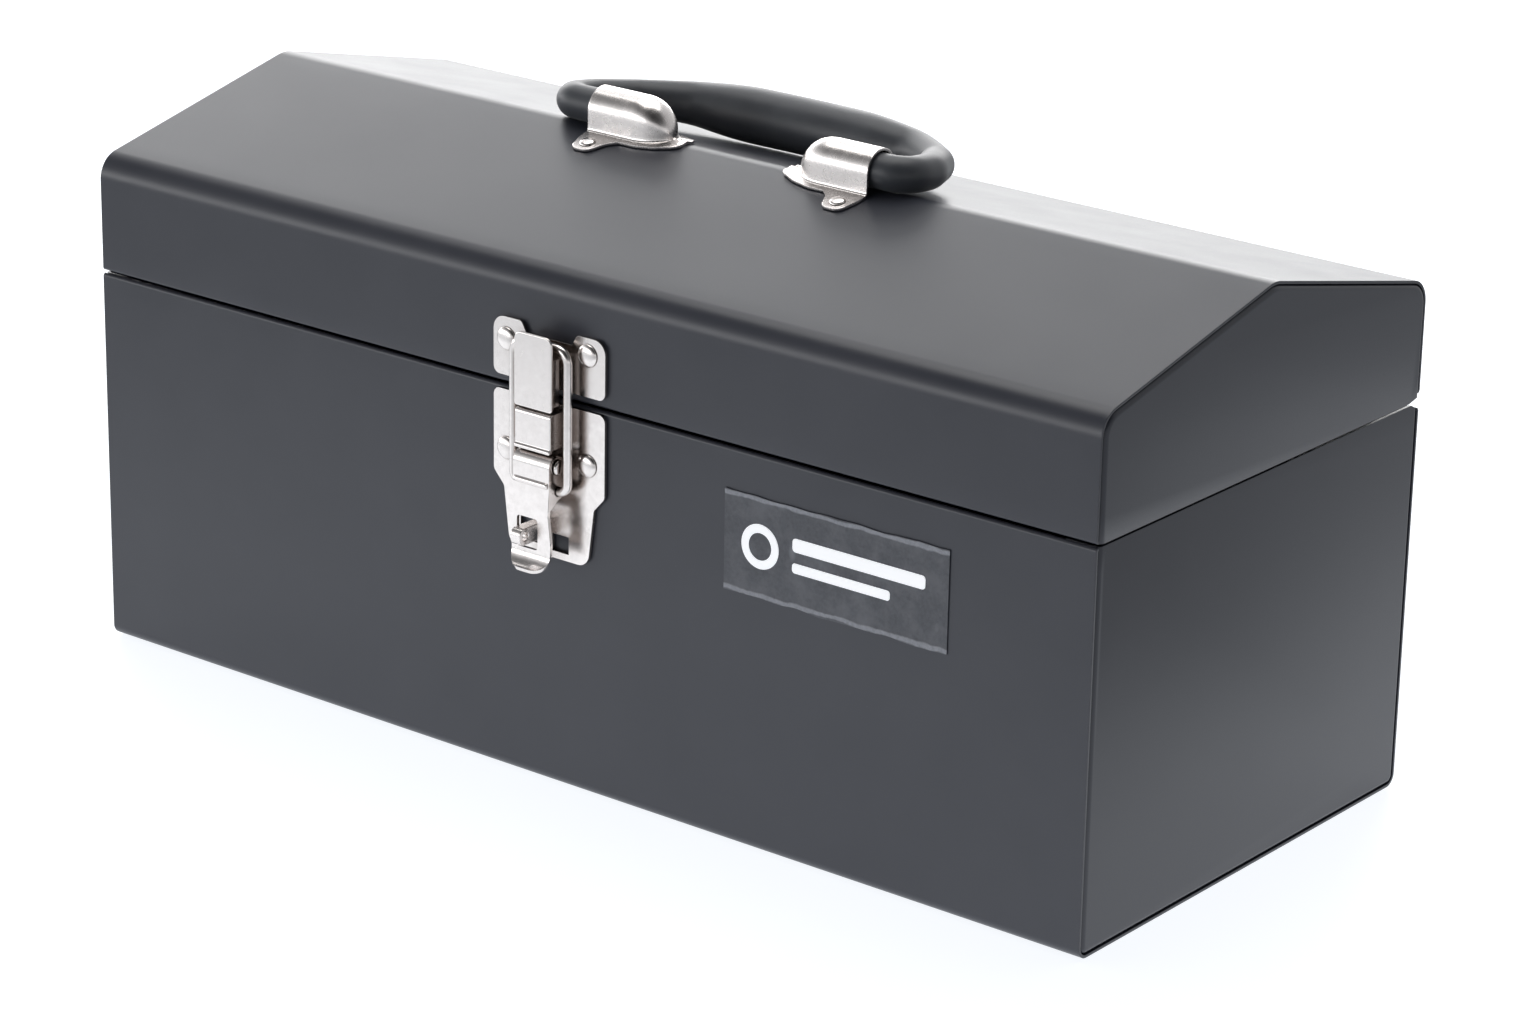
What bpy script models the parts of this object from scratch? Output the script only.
"""Steel hand box: sheet body, hinged gable lid, draw latch and folding handle.

Frame: origin at the middle of the underside, +X along the length (left is -X),
the latch faces -Y, +Z up. Sizes are in millimetres; the scene is in metres.
"""
import math

import bmesh
import bpy
from mathutils import Matrix, Vector

MM = 0.001
SHARP_ANGLE = math.radians(35)
WELD = 0.0001
SIDES = ((-1, "left"), (1, "right"))

# ---------------------------------------------------------------- sheet metal sizes
HALF_L = 202.9          # half length of the wrapped sheets
HALF_D = 88.9           # half depth, outer face of the walls
SHEET = 0.9             # body and lid sheet
GAP = 0.3               # clearance between neighbouring solids
BASE_BEND = 4.0
SEAM_Z = 131.0          # middle of the gap between body and lid
SEAM_HALF = 0.5         # half of that gap at the front
SEAM_HALF_REAR = 2.4    # and at the rear
EAVE_Z, EAVE_R = 170.2, 9.0
RIDGE_Z, RIDGE_R = 190.5, 13.0
ROOF = math.atan2(RIDGE_Z - EAVE_Z, HALF_D)

HEM = 1.15              # outer radius of a folded hem
HEM_LENGTH = 6.85       # from the fold's centre to the free edge
HEM_END = 190.5         # hems stop where the end pans begin

BODY_END_X = 203.2      # outer faces of the end pans
LID_END_X = 203.6
FLANGE = 12.0           # depth of the end-pan flanges
PAN_BEND = 1.8
PAN_INSET = SHEET + GAP
PAN_Y = HALF_D - PAN_INSET

# ---------------------------------------------------------------- hinge sizes
HINGE_Y, HINGE_Z = 87.05, SEAM_Z
HINGE_PIN_R = 1.0
KNUCKLE_IN, KNUCKLE_OUT = 1.3, 1.95
HINGE_HALF = 188.0
KNUCKLES = 15
LEAF_H = 19.0

# ---------------------------------------------------------------- latch sizes
# latch coordinates: u along X from its centre, p in front of the wall, z up
LATCH_X = -3.6
FRONT = -HALF_D
PIVOT = (5.6, 110.6)                # (p, z) of the lever pivot in the base
BAIL = (5.3, 102.6)                 # (p, z) of the bail pivot in the lever
PIVOT_Z = PIVOT[1]
BAIL_Z = BAIL[1]
EYE_R = 1.8                         # holes for the lever pin and the bail
LEVER_PIN_R = 1.5
BAR_Z = 149.2                       # bail crossbar
BAIL_U = 11.1                       # bail leg from the latch centre
WIRE_R = 1.5
PLATE = 1.2
CAP_IN, CAP_OUT = 8.3, 9.3          # p of the strike cap's faces
BRIDGE_OUT = 9.3                    # p of the base bridge's outer face
WEB_IN = 8.75                       # p of the lever's inner face
WEB_OUT = WEB_IN + PLATE
LEVER_HALF = 7.4
CURL_Z, CURL_R = 82.3, 5.2          # start and outer radius of the curl at the lever's end
CURL_CUTS = 6
LATCH_HOLE_R = 2.3

# rivets: side, u, z; the press work is not quite symmetric
STRIKE_RIVETS = ((-1, -17.4, 146.6), (1, 15.9, 148.0))
BASE_RIVETS = ((-1, -17.4, 110.4), (1, 15.9, 112.0))

# half outlines from the middle line: u, z, corner radius
STRIKE_PLATE = ((0, 134.4, 0), (22.9, 134.4, 2.5), (22.9, 153.6, 4.5), (11.4, 153.6, 2.0),
                (9.4, 150.0, 1.0), (0, 150.0, 0))
STRIKE_CAP = ((0, 129.0, 0), (7.7, 129.0, 1.0), (7.7, 153.3, 2.6), (0, 153.3, 0))
BASE_PLATE = ((0, 78.2, 0), (16.2, 78.2, 4.5), (18.6, 97.6, 2.0), (22.9, 102.4, 2.5),
              (22.9, 129.7, 2.5), (0, 129.7, 0))
LEVER_WEB = ((0, 75.7, 0), (7.8, 75.7, 6.0), (8.0, 86.0, 8.0), (6.9, 95.0, 8.0),
             (LEVER_HALF, 104.5, 8.0), (LEVER_HALF, PIVOT_Z, 0), (0, PIVOT_Z, 0))
# side outlines: p, z, corner radius
STRIKE_RETURN = ((5.2, 131.0, 1.2), (CAP_OUT - 0.2, 131.0, 0), (CAP_OUT - 0.2, 146.0, 0),
                 (5.2, 146.0, 0))
BASE_BRIDGE = ((1.0, 128.4, 0), (BRIDGE_OUT, 128.4, 1.2), (BRIDGE_OUT, 116.9, 0.4),
               (BRIDGE_OUT + 0.6, 116.4, 0.4), (BRIDGE_OUT + 0.6, 115.4, 0.4),
               (8.1, 115.4, 0), (8.1, 116.4, 0), (1.0, 116.4, 0))
BASE_LUG = ((1.0, 84.8, 0), (15.2, 84.8, 2.2), (15.2, 90.4, 2.2), (1.0, 90.4, 0))
# closed outline: u, z, corner radius
LEVER_SLOT = ((-5.8, 82.9, 1.2), (2.8, 82.9, 1.2), (2.8, 93.2, 1.2), (-5.8, 93.2, 1.2))

# film on the front wall, closed outline: x, z, corner radius
LABEL = ((66.5, 84.0, 2.0), (151.5, 84.0, 2.0), (151.5, 118.0, 2.0), (66.5, 118.0, 2.0))
LABEL_THICK = 0.3

# ---------------------------------------------------------------- handle sizes
AXIS_Z = 196.4                      # handle axis, y = 0
BRACKET_X = -1.5                    # middle of the two brackets; bracket x is measured from it
BRACKET_SHEET = 0.9
HOOD_R = 7.4
HOOD_X0, HOOD_X1 = 26.6, 57.3
HOOD_MID = 38.5                     # where the dome at the inner end starts
HOOD_DROP = 4.0                     # how far the arch's centre sinks along the dome
DOME_ANGLES = (84, 70, 55, 40, 25, 12)
RIM_Y = HOOD_R + 2.6                # edge of the foot beside the hood
TAB_Y = 19.0
FOOT_TIP = 21.4
TAB_RIVET_X, TAB_RIVET_Y = 51.4, 14.2
TAB_HOLE_R = 1.8
SLAB_Y = 30.0                       # half depth of the slabs that shape the brackets
# rear half of the foot in plan: x, y, corner radius
FOOT = ((HOOD_X1, 0.0, 0), (HOOD_X1, 9.3, 1.2), (56.8, 12.1, 1.0), (55.0, TAB_Y, 2.4),
        (48.2, TAB_Y, 2.4), (45.2, 12.6, 1.2), (42.0, RIM_Y, 1.5), (35.5, RIM_Y, 2),
        (28.6, 8.3, 2), (24.3, 6.3, 1.0), (FOOT_TIP, 4.7, 1.6), (FOOT_TIP, 0.0, 0))

HANDLE_X = -5.0                     # middle of the handle, off-centre between the brackets
HANDLE_TILT = math.radians(-7.2)    # it lies to the rear, below the horizontal
HANDLE_END_R, HANDLE_MID_R = 5.9, 9.4
BOW_REACH, BOW_DROP = 41.0, 2.4     # reach at the middle, and how much less at the bow's end
BOW_X = (48, 40, 32, 24, 16, 8, 0)
# right arm from its hinge end to the bow: x, reach from the axis, corner radius
HANDLE_ARM = ((41.0, 0.0, 0), (70.2, 0.0, 6.0), (68.6, 14.6, 14.0), (61.8, 28.4, 9.0),
              (BOW_X[0], BOW_REACH - BOW_DROP, 0))

# ---------------------------------------------------------------- materials
BLACK = dict(colour=(0.035, 0.036, 0.04), roughness=0.45, metallic=0.0)
NICKEL = dict(colour=(0.62, 0.61, 0.58), roughness=0.22, metallic=1.0)
STEEL = dict(colour=(0.42, 0.42, 0.43), roughness=0.35, metallic=1.0)
GRIP = dict(colour=(0.02, 0.02, 0.021), roughness=0.5, metallic=0.0)
FILM = dict(colour=(0.05, 0.05, 0.055), roughness=0.3, metallic=0.0)


def material(name, colour, roughness, metallic):
    made = bpy.data.materials.new(name)
    made.use_nodes = True
    shader = made.node_tree.nodes["Principled BSDF"]
    shader.inputs["Base Color"].default_value = (*colour, 1)
    shader.inputs["Roughness"].default_value = roughness
    shader.inputs["Metallic"].default_value = metallic
    return made


# ---------------------------------------------------------------- scene set-up
def collection(name):
    made = bpy.data.collections.new(name)
    bpy.context.scene.collection.children.link(made)
    return made


def empty(name, place):
    """Parent for the pieces that move about one axis."""
    made = bpy.data.objects.new(name, None)
    PARTS.objects.link(made)
    made.location = Vector(place) * MM
    return made


def at(u, p, z):
    """World position of a point in latch coordinates."""
    return (LATCH_X + u, FRONT - p, z)


for old in list(bpy.data.objects):
    bpy.data.objects.remove(old, do_unlink=True)
PARTS = collection("hip_roof_box")
CUTTERS = collection("cutters")
ROOT = empty("box_root", (0, 0, 0))
LID_AXIS = empty("lid_axis", (0, HINGE_Y, HINGE_Z))
LEVER_AXIS = empty("lever_axis", at(0, *PIVOT))
BAIL_AXIS = empty("bail_axis", at(0, *BAIL))
HANDLE_AXIS = empty("handle_axis", (0, 0, AXIS_Z))


# ---------------------------------------------------------------- objects and modifiers
def mesh_data(mesh, name):
    """Turns a bmesh in millimetres into mesh data in metres."""
    data = bpy.data.meshes.new(name)
    mesh.to_mesh(data)
    mesh.free()
    data.transform(Matrix.Scale(MM, 4))
    return data


def add_part(mesh, name, look, parent):
    """Puts a bmesh drawn in world position in the scene, its origin at the parent."""
    data = mesh_data(mesh, name)
    data.transform(Matrix.Translation(-parent.location))
    obj = bpy.data.objects.new(name, data)
    PARTS.objects.link(obj)
    obj.parent = parent
    data.materials.append(material(name + "_paint", **look))
    data.shade_smooth()
    data.set_sharp_from_angle(angle=SHARP_ANGLE)
    return obj


def solid_part(mesh, name, look, parent=ROOT):
    bmesh.ops.recalc_face_normals(mesh, faces=mesh.faces)
    return add_part(mesh, name, look, parent)


def sheet_part(mesh, name, parent, offset):
    """Black sheet: Solidify thickens the surface to the side that offset gives."""
    obj = add_part(mesh, name, BLACK, parent)
    solid = obj.modifiers.new("sheet", "SOLIDIFY")
    solid.thickness = SHEET * MM
    solid.offset = offset
    solid.use_even_offset = True
    return obj


def boolean(obj, mesh, name, operation):
    """Makes a helper object of the bmesh and applies it to obj by a modifier."""
    bmesh.ops.recalc_face_normals(mesh, faces=mesh.faces)
    tool = bpy.data.objects.new(name, mesh_data(mesh, name))
    CUTTERS.objects.link(tool)
    tool.hide_render = True
    tool.display_type = "WIRE"
    step = obj.modifiers.new(name, "BOOLEAN")
    step.operation = operation
    step.solver = "EXACT"
    step.object = tool
    return tool


def cut(obj, mesh, name):
    return boolean(obj, mesh, name, "DIFFERENCE")


def join(obj, mesh, name):
    return boolean(obj, mesh, name, "UNION")


# ---------------------------------------------------------------- shapes
def box(corner, opposite):
    mesh = bmesh.new()
    bmesh.ops.create_cube(mesh, size=1.0)
    size = [abs(b - a) for a, b in zip(corner, opposite)]
    middle = [(b + a) / 2 for a, b in zip(corner, opposite)]
    bmesh.ops.transform(mesh, verts=mesh.verts,
                        matrix=Matrix.Translation(middle) @ Matrix.Diagonal((*size, 1)))
    return mesh


def rod(start, end, radius, segments=16, radius_end=None):
    """Cylinder or cone from start to end."""
    start, end = Vector(start), Vector(end)
    mesh = bmesh.new()
    bmesh.ops.create_cone(mesh, cap_ends=True, segments=segments, radius1=radius,
                          radius2=radius if radius_end is None else radius_end,
                          depth=(end - start).length)
    turn = (end - start).to_track_quat("Z", "Y").to_matrix().to_4x4()
    bmesh.ops.transform(mesh, verts=mesh.verts,
                        matrix=Matrix.Translation((start + end) / 2) @ turn)
    return mesh


def arc(centre, radius, start, end, steps):
    """Points on an arc, in degrees, ends included."""
    angles = [math.radians(start + (end - start) * i / steps) for i in range(steps + 1)]
    return [(centre[0] + radius * math.cos(angle), centre[1] + radius * math.sin(angle))
            for angle in angles]


def fillet(corners, steps=4, closed=False):
    """Rounds a 2D polyline given as (first, second, corner radius)."""
    points = [corner[:2] for corner in corners]
    count = len(points)
    out = []
    for i, (*_, radius) in enumerate(corners):
        if radius <= 0 or (not closed and i in (0, count - 1)):
            out.append(points[i])
            continue
        here = Vector(points[i])
        before = (Vector(points[i - 1]) - here).normalized()
        after = (Vector(points[(i + 1) % count]) - here).normalized()
        half = before.angle(after) / 2
        reach = radius / math.tan(half)
        middle = here + (before + after).normalized() * (radius / math.sin(half))
        first = here + before * reach - middle
        last = here + after * reach - middle
        turn = first.angle_signed(last)
        for k in range(steps + 1):
            spot = middle + Matrix.Rotation(-turn * k / steps, 2) @ first
            out.append((spot.x, spot.y))
    return out


def curve_mesh(curve):
    """Evaluates a curve and returns it as a welded bmesh."""
    holder = bpy.data.objects.new(curve.name, curve)
    CUTTERS.objects.link(holder)
    graph = bpy.context.evaluated_depsgraph_get()
    data = bpy.data.meshes.new_from_object(holder.evaluated_get(graph))
    bpy.data.objects.remove(holder, do_unlink=True)
    mesh = bmesh.new()
    mesh.from_mesh(data)
    bpy.data.meshes.remove(data)
    bmesh.ops.remove_doubles(mesh, verts=mesh.verts, dist=WELD)
    return mesh


def outline(points, depth_a, depth_b, plane):
    """A filled flat outline extruded between two depths.

    plane "front": points are (x, z) and the depth is y. plane "side": points
    are (y, z) and the depth is x. plane "top": points are (x, y), depth z.
    """
    curve = bpy.data.curves.new("outline", "CURVE")
    curve.dimensions = "2D"
    curve.fill_mode = "BOTH"
    curve.extrude = abs(depth_b - depth_a) / 2
    spline = curve.splines.new("POLY")
    spline.points.add(len(points) - 1)
    for spot, point in zip(spline.points, points):
        spot.co = (*point, 0, 1)
    spline.use_cyclic_u = True
    mesh = curve_mesh(curve)
    middle = (depth_a + depth_b) / 2
    if plane == "front":
        place = Matrix(((1, 0, 0, 0), (0, 0, -1, middle), (0, 1, 0, 0), (0, 0, 0, 1)))
    elif plane == "side":
        place = Matrix(((0, 0, 1, middle), (1, 0, 0, 0), (0, 1, 0, 0), (0, 0, 0, 1)))
    else:
        place = Matrix.Translation((0, 0, middle))
    bmesh.ops.transform(mesh, verts=mesh.verts, matrix=place)
    return mesh


def tube(centre, radii):
    """Round bar along 3D points, with one radius for each."""
    curve = bpy.data.curves.new("tube", "CURVE")
    curve.dimensions = "3D"
    curve.bevel_depth = 1.0
    curve.bevel_resolution = 2
    curve.use_fill_caps = True
    spline = curve.splines.new("POLY")
    spline.points.add(len(centre) - 1)
    for spot, place, radius in zip(spline.points, centre, radii):
        spot.co = (*place, 1)
        spot.radius = radius
    return curve_mesh(curve)


def rivet(name, spot, out, head, shank, grip, parent):
    """Domed rivet: spot is on the plate's outer face, out points away from it.

    head and shank are radii; grip is how far the shank runs back to its formed tail.
    """
    lift = 0.15                     # underside of the head above the plate
    dome = head * 0.36
    tail_flare, tail_taper, tail = 1.0, 0.2, 0.9
    profile = [(0.0, lift + dome)]
    for k in range(1, 5):
        angle = math.radians(90 - 22.5 * k)
        profile.append((head * math.cos(angle), lift + dome * max(math.sin(angle), 0.12)))
    profile += [(head, lift), (shank, lift), (shank, -grip), (shank + tail_flare, -grip),
                (shank + tail_flare - tail_taper, -grip - tail), (0.0, -grip - tail)]
    mesh = bmesh.new()
    line = [mesh.verts.new((radius, 0, z)) for radius, z in profile]
    for start, end in zip(line, line[1:]):
        mesh.edges.new((start, end))
    data = mesh_data(mesh, name)
    data.materials.append(material(name + "_metal", **NICKEL))
    obj = bpy.data.objects.new(name, data)
    PARTS.objects.link(obj)
    obj.parent = parent
    turn = Vector(out).to_track_quat("Z", "Y").to_matrix().to_4x4()
    obj.matrix_basis = Matrix.Translation(Vector(spot) * MM - parent.location) @ turn
    screw = obj.modifiers.new("turn", "SCREW")
    screw.steps = screw.render_steps = 16
    screw.use_merge_vertices = True
    screw.merge_threshold = 0.00005
    screw.use_normal_calculate = False


def roof(y):
    """Height of the plain roof slope's outer face at distance y from the ridge."""
    return RIDGE_Z - y * math.tan(ROOF)


# ---------------------------------------------------------------- body and lid sheets
def wrap(name, parent, offset, up, corners, steps):
    """Sheet bent round corners (y, z, radius), with a hem folded inwards at each edge.

    up is the side of the wrap that is open: 1 for the body, -1 for the lid.
    """
    front_z = SEAM_Z - up * (SEAM_HALF + HEM)
    rear_z = SEAM_Z - up * (SEAM_HALF_REAR + HEM)
    inner = HALF_D - 2 * HEM
    fold_y = HALF_D - HEM
    path = [(-inner, front_z - up * HEM_LENGTH)]
    path += arc((-fold_y, front_z), HEM, 0, up * 180, 6)
    path += fillet([(-HALF_D, front_z, 0), *corners, (HALF_D, rear_z, 0)], steps)[1:-1]
    path += arc((fold_y, rear_z), HEM, 0, up * 180, 6)
    path += [(inner, rear_z - up * HEM_LENGTH)]
    mesh = bmesh.new()
    left, right = [[mesh.verts.new((x, y, z)) for y, z in path] for x in (-HALF_L, HALF_L)]
    for i in range(len(path) - 1):
        mesh.faces.new((left[i], left[i + 1], right[i + 1], right[i]))
    return sheet_part(mesh, name, parent, offset)


def trim_hems(sheet, prefix, low, high):
    """Cuts the hems away beside the end pans, between heights low and high."""
    for side, _ in SIDES:
        for face in (-1, 1):
            cut(sheet, box((side * HEM_END, face * (HALF_D - SHEET - 0.05), low),
                           (side * 210, face * 80, high)), f"{prefix}_{side}_{face}")


def inset_rim(rim, inset):
    """Moves an open (y, z) outline inwards; its two ends keep their height."""
    middle = Vector((0.0, sum(z for _, z in rim) / len(rim)))
    runs = [(Vector(b) - Vector(a)).normalized() for a, b in zip(rim, rim[1:])]
    out = []
    for i, point in enumerate(rim):
        here = Vector(point)
        arriving = runs[max(i - 1, 0)]
        leaving = runs[min(i, len(runs) - 1)]
        along = (arriving + leaving).normalized()
        stretch = 1 / max(math.cos(arriving.angle(leaving) / 2), 0.5)
        inward = Vector((-along.y, along.x))
        if inward.dot(middle - here) < 0:
            inward = -inward
        spot = here + inward * inset * stretch
        if i in (0, len(rim) - 1):
            spot.y = point[1]
        out.append(spot)
    return out


def end_pan(name, side, end_x, corners, parent, clip):
    """Pressed end: a flat panel with a flange turned inwards along its sides.

    corners (y, z, radius) run along the flanged sides; the last side is open.
    clip is the side outline cut from the pan.
    """
    rim = fillet(corners, 3)
    # (x, inset) from the flange's free edge round the bend to the panel
    stations = [(end_x - FLANGE, 0.0), (end_x - PAN_BEND, 0.0)]
    for degrees in (30, 60, 90):
        angle = math.radians(degrees)
        stations.append((end_x - PAN_BEND + PAN_BEND * math.sin(angle),
                         PAN_BEND * (1 - math.cos(angle))))
    mesh = bmesh.new()
    rings = [[mesh.verts.new((side * x, *spot)) for spot in inset_rim(rim, inset)]
             for x, inset in stations]
    for lower, upper in zip(rings, rings[1:]):
        for i in range(len(rim) - 1):
            mesh.faces.new((lower[i], lower[i + 1], upper[i + 1], upper[i]))
    mesh.faces.new(rings[-1])
    # the panel has to face outwards, so that the sheet thickens inwards
    bmesh.ops.recalc_face_normals(mesh, faces=mesh.faces)
    panel = max(mesh.faces, key=lambda face: face.calc_area())
    if panel.normal.x * side < 0:
        bmesh.ops.reverse_faces(mesh, faces=mesh.faces)
    obj = sheet_part(mesh, name, parent, -1)
    cut(obj, outline(clip, side * end_x - 20, side * end_x + 20, "side"), name + "_corner")


def rear_clip(edge, run, rise):
    """Slanted cut off a pan's rear corner: over run it moves by rise from the open edge."""
    margin = 3
    outside = edge - math.copysign(margin, rise)
    return [(PAN_Y - run, edge), (PAN_Y + margin, edge + rise * (run + margin) / run),
            (PAN_Y + margin, outside), (PAN_Y - run, outside)]


def build_body():
    body = wrap("body_wrap", ROOT, -1, 1,
                [(-HALF_D, 0, BASE_BEND), (HALF_D, 0, BASE_BEND)], 4)
    trim_hems(body, "hem_end", 115, 140)
    top = SEAM_Z - SEAM_HALF
    bend = BASE_BEND - PAN_INSET
    corners = [(-PAN_Y, top, 0), (-PAN_Y, PAN_INSET, bend), (PAN_Y, PAN_INSET, bend),
               (PAN_Y, top, 0)]
    for side, word in SIDES:
        end_pan(f"body_end_{word}", side, BODY_END_X, corners, ROOT, rear_clip(top, 4, -2.1))
    return body


def build_lid():
    lid = wrap("lid_wrap", LID_AXIS, 1, -1,
               [(-HALF_D, EAVE_Z, EAVE_R), (0, RIDGE_Z, RIDGE_R), (HALF_D, EAVE_Z, EAVE_R)], 5)
    trim_hems(lid, "lid_hem_end", 125, 148)
    low = SEAM_Z + SEAM_HALF
    drop = PAN_INSET / math.cos(ROOF)
    eave = roof(PAN_Y) - drop
    eave_bend = EAVE_R - PAN_INSET
    corners = [(-PAN_Y, low, 0), (-PAN_Y, eave, eave_bend),
               (0, RIDGE_Z - drop, RIDGE_R - PAN_INSET),
               (PAN_Y, eave, eave_bend), (PAN_Y, low, 0)]
    for side, word in SIDES:
        end_pan(f"lid_end_{word}", side, LID_END_X, corners, LID_AXIS, rear_clip(low, 6, 1.3))
    return lid


# ---------------------------------------------------------------- hinge
def hinge_leaf(name, up, parent):
    """Rolled leaf with every other knuckle cut away; up is -1 for the body's, 1 for the lid's."""
    ring = arc((0, 0), KNUCKLE_OUT, 180, -90, 18) + arc((0, 0), KNUCKLE_IN, -90, 180, 18)
    ring += [(-KNUCKLE_IN, -LEAF_H), (-KNUCKLE_OUT, -LEAF_H)]
    section = [(HINGE_Y + y, HINGE_Z - up * z) for y, z in ring]
    leaf = solid_part(outline(section, -HINGE_HALF, HINGE_HALF, "side"), name, STEEL, parent)
    pitch = 2 * HINGE_HALF / KNUCKLES
    overrun = 3
    for i in range(0 if up == 1 else 1, KNUCKLES, 2):
        x0 = -HINGE_HALF + i * pitch - GAP / 2
        x1 = x0 + pitch + GAP
        if i == 0:
            x0 -= overrun
        if i == KNUCKLES - 1:
            x1 += overrun
        cut(leaf, box((x0, HINGE_Y - 4, HINGE_Z + up * 2.3), (x1, HINGE_Y + 4, HINGE_Z - up * 4)),
            f"{name}_slot_{i}")


def build_hinge():
    hinge_leaf("hinge_leaf_body", -1, ROOT)
    hinge_leaf("hinge_leaf_lid", 1, LID_AXIS)
    end = HINGE_HALF + 0.4
    solid_part(rod((-end, HINGE_Y, HINGE_Z), (end, HINGE_Y, HINGE_Z), HINGE_PIN_R),
               "hinge_pin", STEEL)


# ---------------------------------------------------------------- latch
def latch_plate(points, p0, p1):
    """Outline given as (u, z), extruded between two distances from the wall."""
    return outline([(LATCH_X + u, z) for u, z in points], FRONT - p1, FRONT - p0, "front")


def latch_side(points, u0, u1):
    """Outline given as (p, z), extruded along the latch's width."""
    return outline([(FRONT - p, z) for p, z in points], LATCH_X + u0, LATCH_X + u1, "side")


def latch_rod(u0, u1, p, z, radius, segments=16):
    """Rod across the latch."""
    return rod(at(u0, p, z), at(u1, p, z), radius, segments)


def mirrored(points):
    """Closes a half outline with its mirror image; points on the middle line drop out."""
    half = [(u, z) for u, z in points if abs(u) > 1e-6]
    return half + [(-u, z) for u, z in reversed(half)]


def fasten(plate, plate_word, sheet, sheet_word, rivets, parent):
    """Drills a latch plate and the sheet behind it, and rivets them together."""
    words = dict(SIDES)
    for side, u, z in rivets:
        cut(plate, rod(at(u, -2, z), at(u, 4, z), LATCH_HOLE_R), f"{plate_word}_hole_{side}")
        cut(sheet, rod(at(u, -4, z), at(u, 2, z), LATCH_HOLE_R), f"{sheet_word}_hole_{side}")
        rivet(f"{plate_word}_rivet_{words[side]}", at(u, GAP + PLATE, z), (0, -1, 0),
              head=3.75, shank=2.0, grip=2.7, parent=parent)


def build_strike(lid):
    """Plate on the lid, with a cap that stands off it on a shelf."""
    strike = solid_part(latch_plate(mirrored(fillet(STRIKE_PLATE)), GAP, GAP + PLATE),
                        "strike_plate", NICKEL, LID_AXIS)
    join(strike, box(at(-7.2, 1.0, 145.2), at(7.2, CAP_IN + 0.5, 146.4)), "strike_shelf")
    join(strike, latch_plate(mirrored(fillet(STRIKE_CAP)), CAP_IN, CAP_OUT), "strike_cap")
    for side, _ in SIDES:
        join(strike, latch_side(fillet(STRIKE_RETURN, 3), side * 6.6, side * 7.7),
             f"strike_return_{side}")
    fasten(strike, "strike", lid, "lid", STRIKE_RIVETS, LID_AXIS)


def build_latch_base(body):
    """Plate on the body with a hollow bridge, two ears for the lever and a drilled lug."""
    base = solid_part(latch_plate(mirrored(fillet(BASE_PLATE)), GAP, GAP + PLATE),
                      "latch_base_plate", NICKEL)
    bridge = join(base, latch_side(fillet(BASE_BRIDGE, 3), -7.3, 7.3), "base_bridge")
    cut(bridge, box(at(-6.1, -1, 110), at(6.1, 8.1, 131)), "base_hollow")
    ear = [(1.0, 106.6), *arc(PIVOT, 2.8, -70, 140, 12), (1.0, PIVOT_Z + 0.6)]
    for side, _ in SIDES:
        join(base, latch_side(ear, side * 4.7, side * 5.9), f"base_ear_{side}")
    join(base, latch_side(fillet(BASE_LUG), -4.0, 0.0), "lug")
    cut(base, latch_rod(-6, 2, 12.2, 87.6, 1.6), "lug_hole")
    cut(base, box(at(1.6, -1, 80.6), at(8.4, 3, 86.4)), "base_window")
    cut(base, box(at(-11.6, -1, 81.5), at(-4.3, 3, 91.4)), "base_window_left")
    cut(base, latch_rod(-12, 12, *PIVOT, EYE_R), "pivot_hole")
    fasten(base, "base", body, "body", BASE_RIVETS, ROOT)


def build_lever_pin():
    pin = solid_part(latch_rod(-8.0, 8.0, *PIVOT, LEVER_PIN_R), "lever_pin", STEEL)
    for side, _ in SIDES:
        join(pin, rod(at(side * 7.7, *PIVOT), at(side * 8.7, *PIVOT), 2.5, radius_end=2.0),
             f"pin_head_{side}")


def curled(mesh):
    """Bends the lever's lower end outwards along an arc that starts at CURL_Z."""
    for level in range(CURL_CUTS):
        bmesh.ops.bisect_plane(mesh, geom=mesh.verts[:] + mesh.edges[:] + mesh.faces[:],
                               plane_co=Vector((0, 0, CURL_Z - level * 1.0)),
                               plane_no=(0, 0, 1))
    bmesh.ops.triangulate(mesh, faces=mesh.faces)
    for vert in mesh.verts:
        run = CURL_Z - vert.co.z
        if run <= 0:
            continue
        angle = run / CURL_R
        depth = (FRONT - vert.co.y) - WEB_OUT       # 0 on the outer face, negative inside
        radius = CURL_R - depth
        vert.co.y = FRONT - (WEB_OUT + CURL_R - radius * math.cos(angle))
        vert.co.z = CURL_Z - radius * math.sin(angle)
    return mesh


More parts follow.
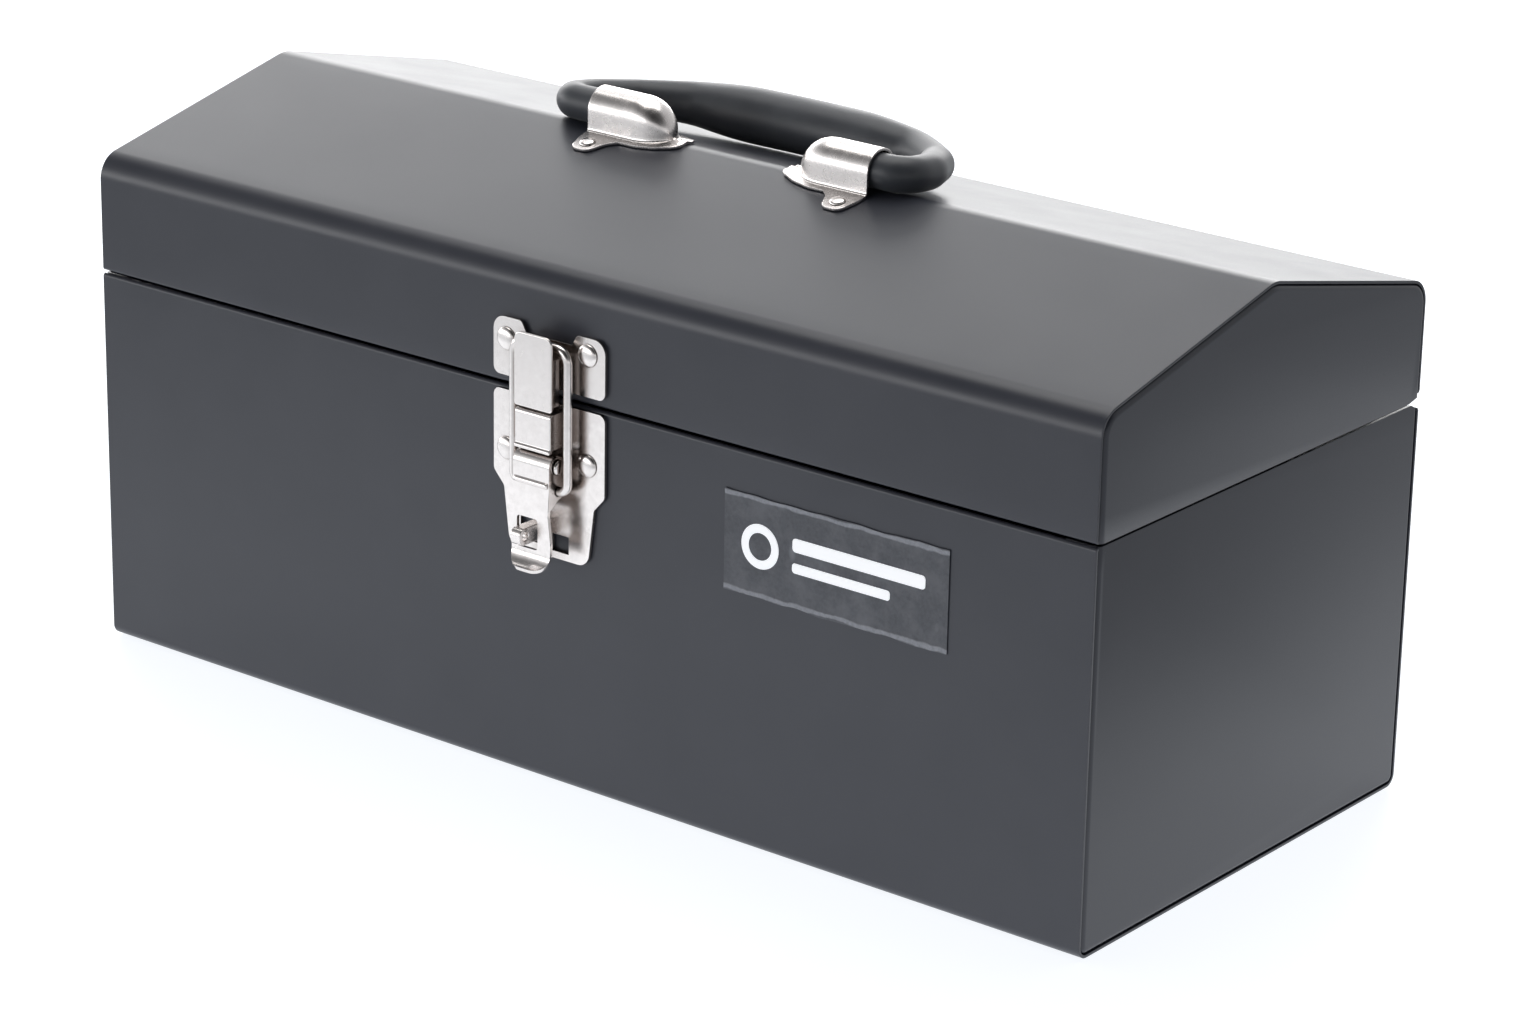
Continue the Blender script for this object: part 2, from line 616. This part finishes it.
def build_lever():
    """Lever that curls back over the pin, its cheeks outside the base's ears."""
    lever = solid_part(curled(latch_plate(mirrored(fillet(LEVER_WEB, 5)), WEB_IN, WEB_OUT)),
                       "latch_lever", NICKEL, LEVER_AXIS)
    # top curl, set in a little so that its faces do not coincide with the web's
    outer = WEB_OUT - PIVOT[0]
    curl = [(WEB_OUT - 0.02, PIVOT_Z - 1.0), *arc(PIVOT, outer, 0, 55, 7),
            *arc(PIVOT, outer - PLATE, 55, 0, 7), (WEB_IN + 0.02, PIVOT_Z - 1.0)]
    join(lever, latch_side(curl, 0.03 - LEVER_HALF, LEVER_HALF - 0.03), "lever_curl")
    cheek = [(WEB_OUT - 0.2, PIVOT_Z - 0.2), *arc(PIVOT, 3.3, 60, 180, 8),
             *arc(BAIL, 2.9, 190, 270, 5), (WEB_OUT - 0.2, 96.4)]
    for side, _ in SIDES:
        join(lever, latch_side(cheek, side * 6.2, side * (LEVER_HALF - 0.07)), f"cheek_{side}")
    join(lever, latch_rod(-6.9, 6.9, WEB_OUT - 0.25, 105.2, 1.0, 12), "lever_bead")
    cut(lever, latch_plate(fillet(LEVER_SLOT, 3, closed=True), 5, 12), "lever_slot")
    cut(lever, latch_rod(-10, 10, *BAIL, EYE_R), "bail_hole")
    cut(lever, latch_rod(-10, 10, *PIVOT, EYE_R), "lever_eye")


def build_bail():
    """One bent wire, its ends turned in through the lever's cheeks."""
    half = fillet([(5.0, BAIL_Z, 0), (BAIL_U, BAIL_Z, 3.2), (BAIL_U, BAR_Z, 4.5),
                   (0, BAR_Z, 0)], 5)[:-1]
    wire = half + [(-u, z) for u, z in reversed(half)]
    solid_part(tube([at(u, BAIL[0], z) for u, z in wire], [WIRE_R] * len(wire)),
               "latch_bail", NICKEL, BAIL_AXIS)


def build_label():
    """Film sticker on the front wall."""
    solid_part(outline(fillet(LABEL, 3, closed=True), FRONT - GAP - LABEL_THICK, FRONT - GAP,
                       "front"), "label_film", FILM)


# ---------------------------------------------------------------- handle brackets
def hood_solid(inset, low, overrun):
    """Right hood: arched over the axis, straight sides down to low, inner end domed."""
    reach = HOOD_MID - HOOD_X0 - inset
    stations = [(HOOD_MID - reach * math.sin(math.radians(angle)), math.cos(math.radians(angle)))
                for angle in DOME_ANGLES]
    stations += [(HOOD_MID, 1.0), (HOOD_X1 + overrun, 1.0)]
    mesh = bmesh.new()
    rings = []
    for x, scale in stations:
        radius = (HOOD_R - inset) * scale
        centre = (0, AXIS_Z - (1 - scale) * HOOD_DROP)
        ring = [(-radius, low), *arc(centre, radius, 180, 0, 9), (radius, low)]
        rings.append([mesh.verts.new((x, y, z)) for y, z in ring])
    for near, far in zip(rings, rings[1:]):
        for i in range(len(near)):
            j = (i + 1) % len(near)
            mesh.faces.new((near[i], near[j], far[j], far[i]))
    mesh.faces.new(rings[0])
    mesh.faces.new(list(reversed(rings[-1])))
    return mesh


def foot_outline():
    """Plan outline of the foot: a rim round the hood and a tab on each slope."""
    rear = fillet(FOOT, 3)
    return rear + [(x, -y) for x, y in reversed(rear[1:-1])]


def place_bracket(mesh, side):
    """Puts a shape drawn for the right bracket in place, mirrored for the left one."""
    if side < 0:
        bmesh.ops.transform(mesh, verts=mesh.verts, matrix=Matrix.Diagonal((-1, 1, 1, 1)))
        bmesh.ops.reverse_faces(mesh, faces=mesh.faces)
    bmesh.ops.translate(mesh, verts=mesh.verts, vec=(BRACKET_X, 0, 0))
    return mesh


def roof_slab(side, near, far, low, high):
    """Chevron slab from near to far in x, between two heights above the roof slopes."""
    path = fillet([(-SLAB_Y, roof(SLAB_Y), 0), (0, RIDGE_Z, RIDGE_R), (SLAB_Y, roof(SLAB_Y), 0)],
                  5)
    upper = [(y, z + high / math.cos(ROOF)) for y, z in path]
    lower = [(y, z + low / math.cos(ROOF)) for y, z in path]
    return outline(upper + lower[::-1], BRACKET_X + side * near, BRACKET_X + side * far, "side")


def build_bracket(side, word, lid):
    """Foot that follows the roof, with a hollow hood, riveted to both slopes."""
    bracket = solid_part(place_bracket(outline(foot_outline(), 170, 200, "top"), side),
                         f"handle_bracket_{word}", NICKEL, LID_AXIS)
    boolean(bracket, roof_slab(side, 16, 62, GAP, GAP + BRACKET_SHEET),
            f"foot_slab_{word}", "INTERSECT")
    join(bracket, place_bracket(hood_solid(0.0, RIDGE_Z - 3.0, 0), side), f"hood_{word}")
    cut(bracket, place_bracket(hood_solid(BRACKET_SHEET, RIDGE_Z - 12.0, 4), side),
        f"hood_hollow_{word}")
    cut(bracket, roof_slab(side, 14, 64, -20, GAP), f"under_slab_{word}")
    for face, where in ((-1, "front"), (1, "rear")):
        spot = Vector((BRACKET_X + side * TAB_RIVET_X, face * TAB_RIVET_Y, roof(TAB_RIVET_Y)))
        normal = Vector((0, face * math.sin(ROOF), math.cos(ROOF)))
        cut(bracket, rod(spot - normal * 4, spot + normal * 4, TAB_HOLE_R),
            f"tab_hole_{word}_{where}")
        cut(lid, rod(spot - normal * 4, spot + normal * 2, TAB_HOLE_R),
            f"roof_hole_{word}_{where}")
        rivet(f"bracket_rivet_{word}_{where}", spot + normal * (GAP + BRACKET_SHEET), normal,
              head=2.7, shank=1.5, grip=2.4, parent=LID_AXIS)


# ---------------------------------------------------------------- handle
def grip_radius(x, reach):
    """Thin on the arms, swelling smoothly towards the middle of the bow."""
    grow = min(max((66.0 - x) / 46.0, 0.0), 1.0) if reach > 20 else 0.0
    return HANDLE_END_R + (HANDLE_MID_R - HANDLE_END_R) * grow * grow * (3 - 2 * grow)


def build_handle():
    bow = [(x, BOW_REACH - BOW_DROP * (x / BOW_X[0]) ** 2) for x in BOW_X]
    right = [(x, reach, grip_radius(x, reach))
             for x, reach in fillet(HANDLE_ARM, 5)[:-1] + bow]
    whole = right + [(-x, reach, radius) for x, reach, radius in reversed(right[:-1])]
    centre = [(HANDLE_X + x, reach * math.cos(HANDLE_TILT), AXIS_Z + reach * math.sin(HANDLE_TILT))
              for x, reach, _ in whole]
    solid_part(tube(centre, [radius for *_, radius in whole]), "handle_grip", GRIP, HANDLE_AXIS)


# ---------------------------------------------------------------- assembly
body_sheet = build_body()
lid_sheet = build_lid()
build_hinge()
build_strike(lid_sheet)
build_latch_base(body_sheet)
build_lever_pin()
build_lever()
build_bail()
build_label()
for bracket_side, bracket_word in SIDES:
    build_bracket(bracket_side, bracket_word, lid_sheet)
build_handle()
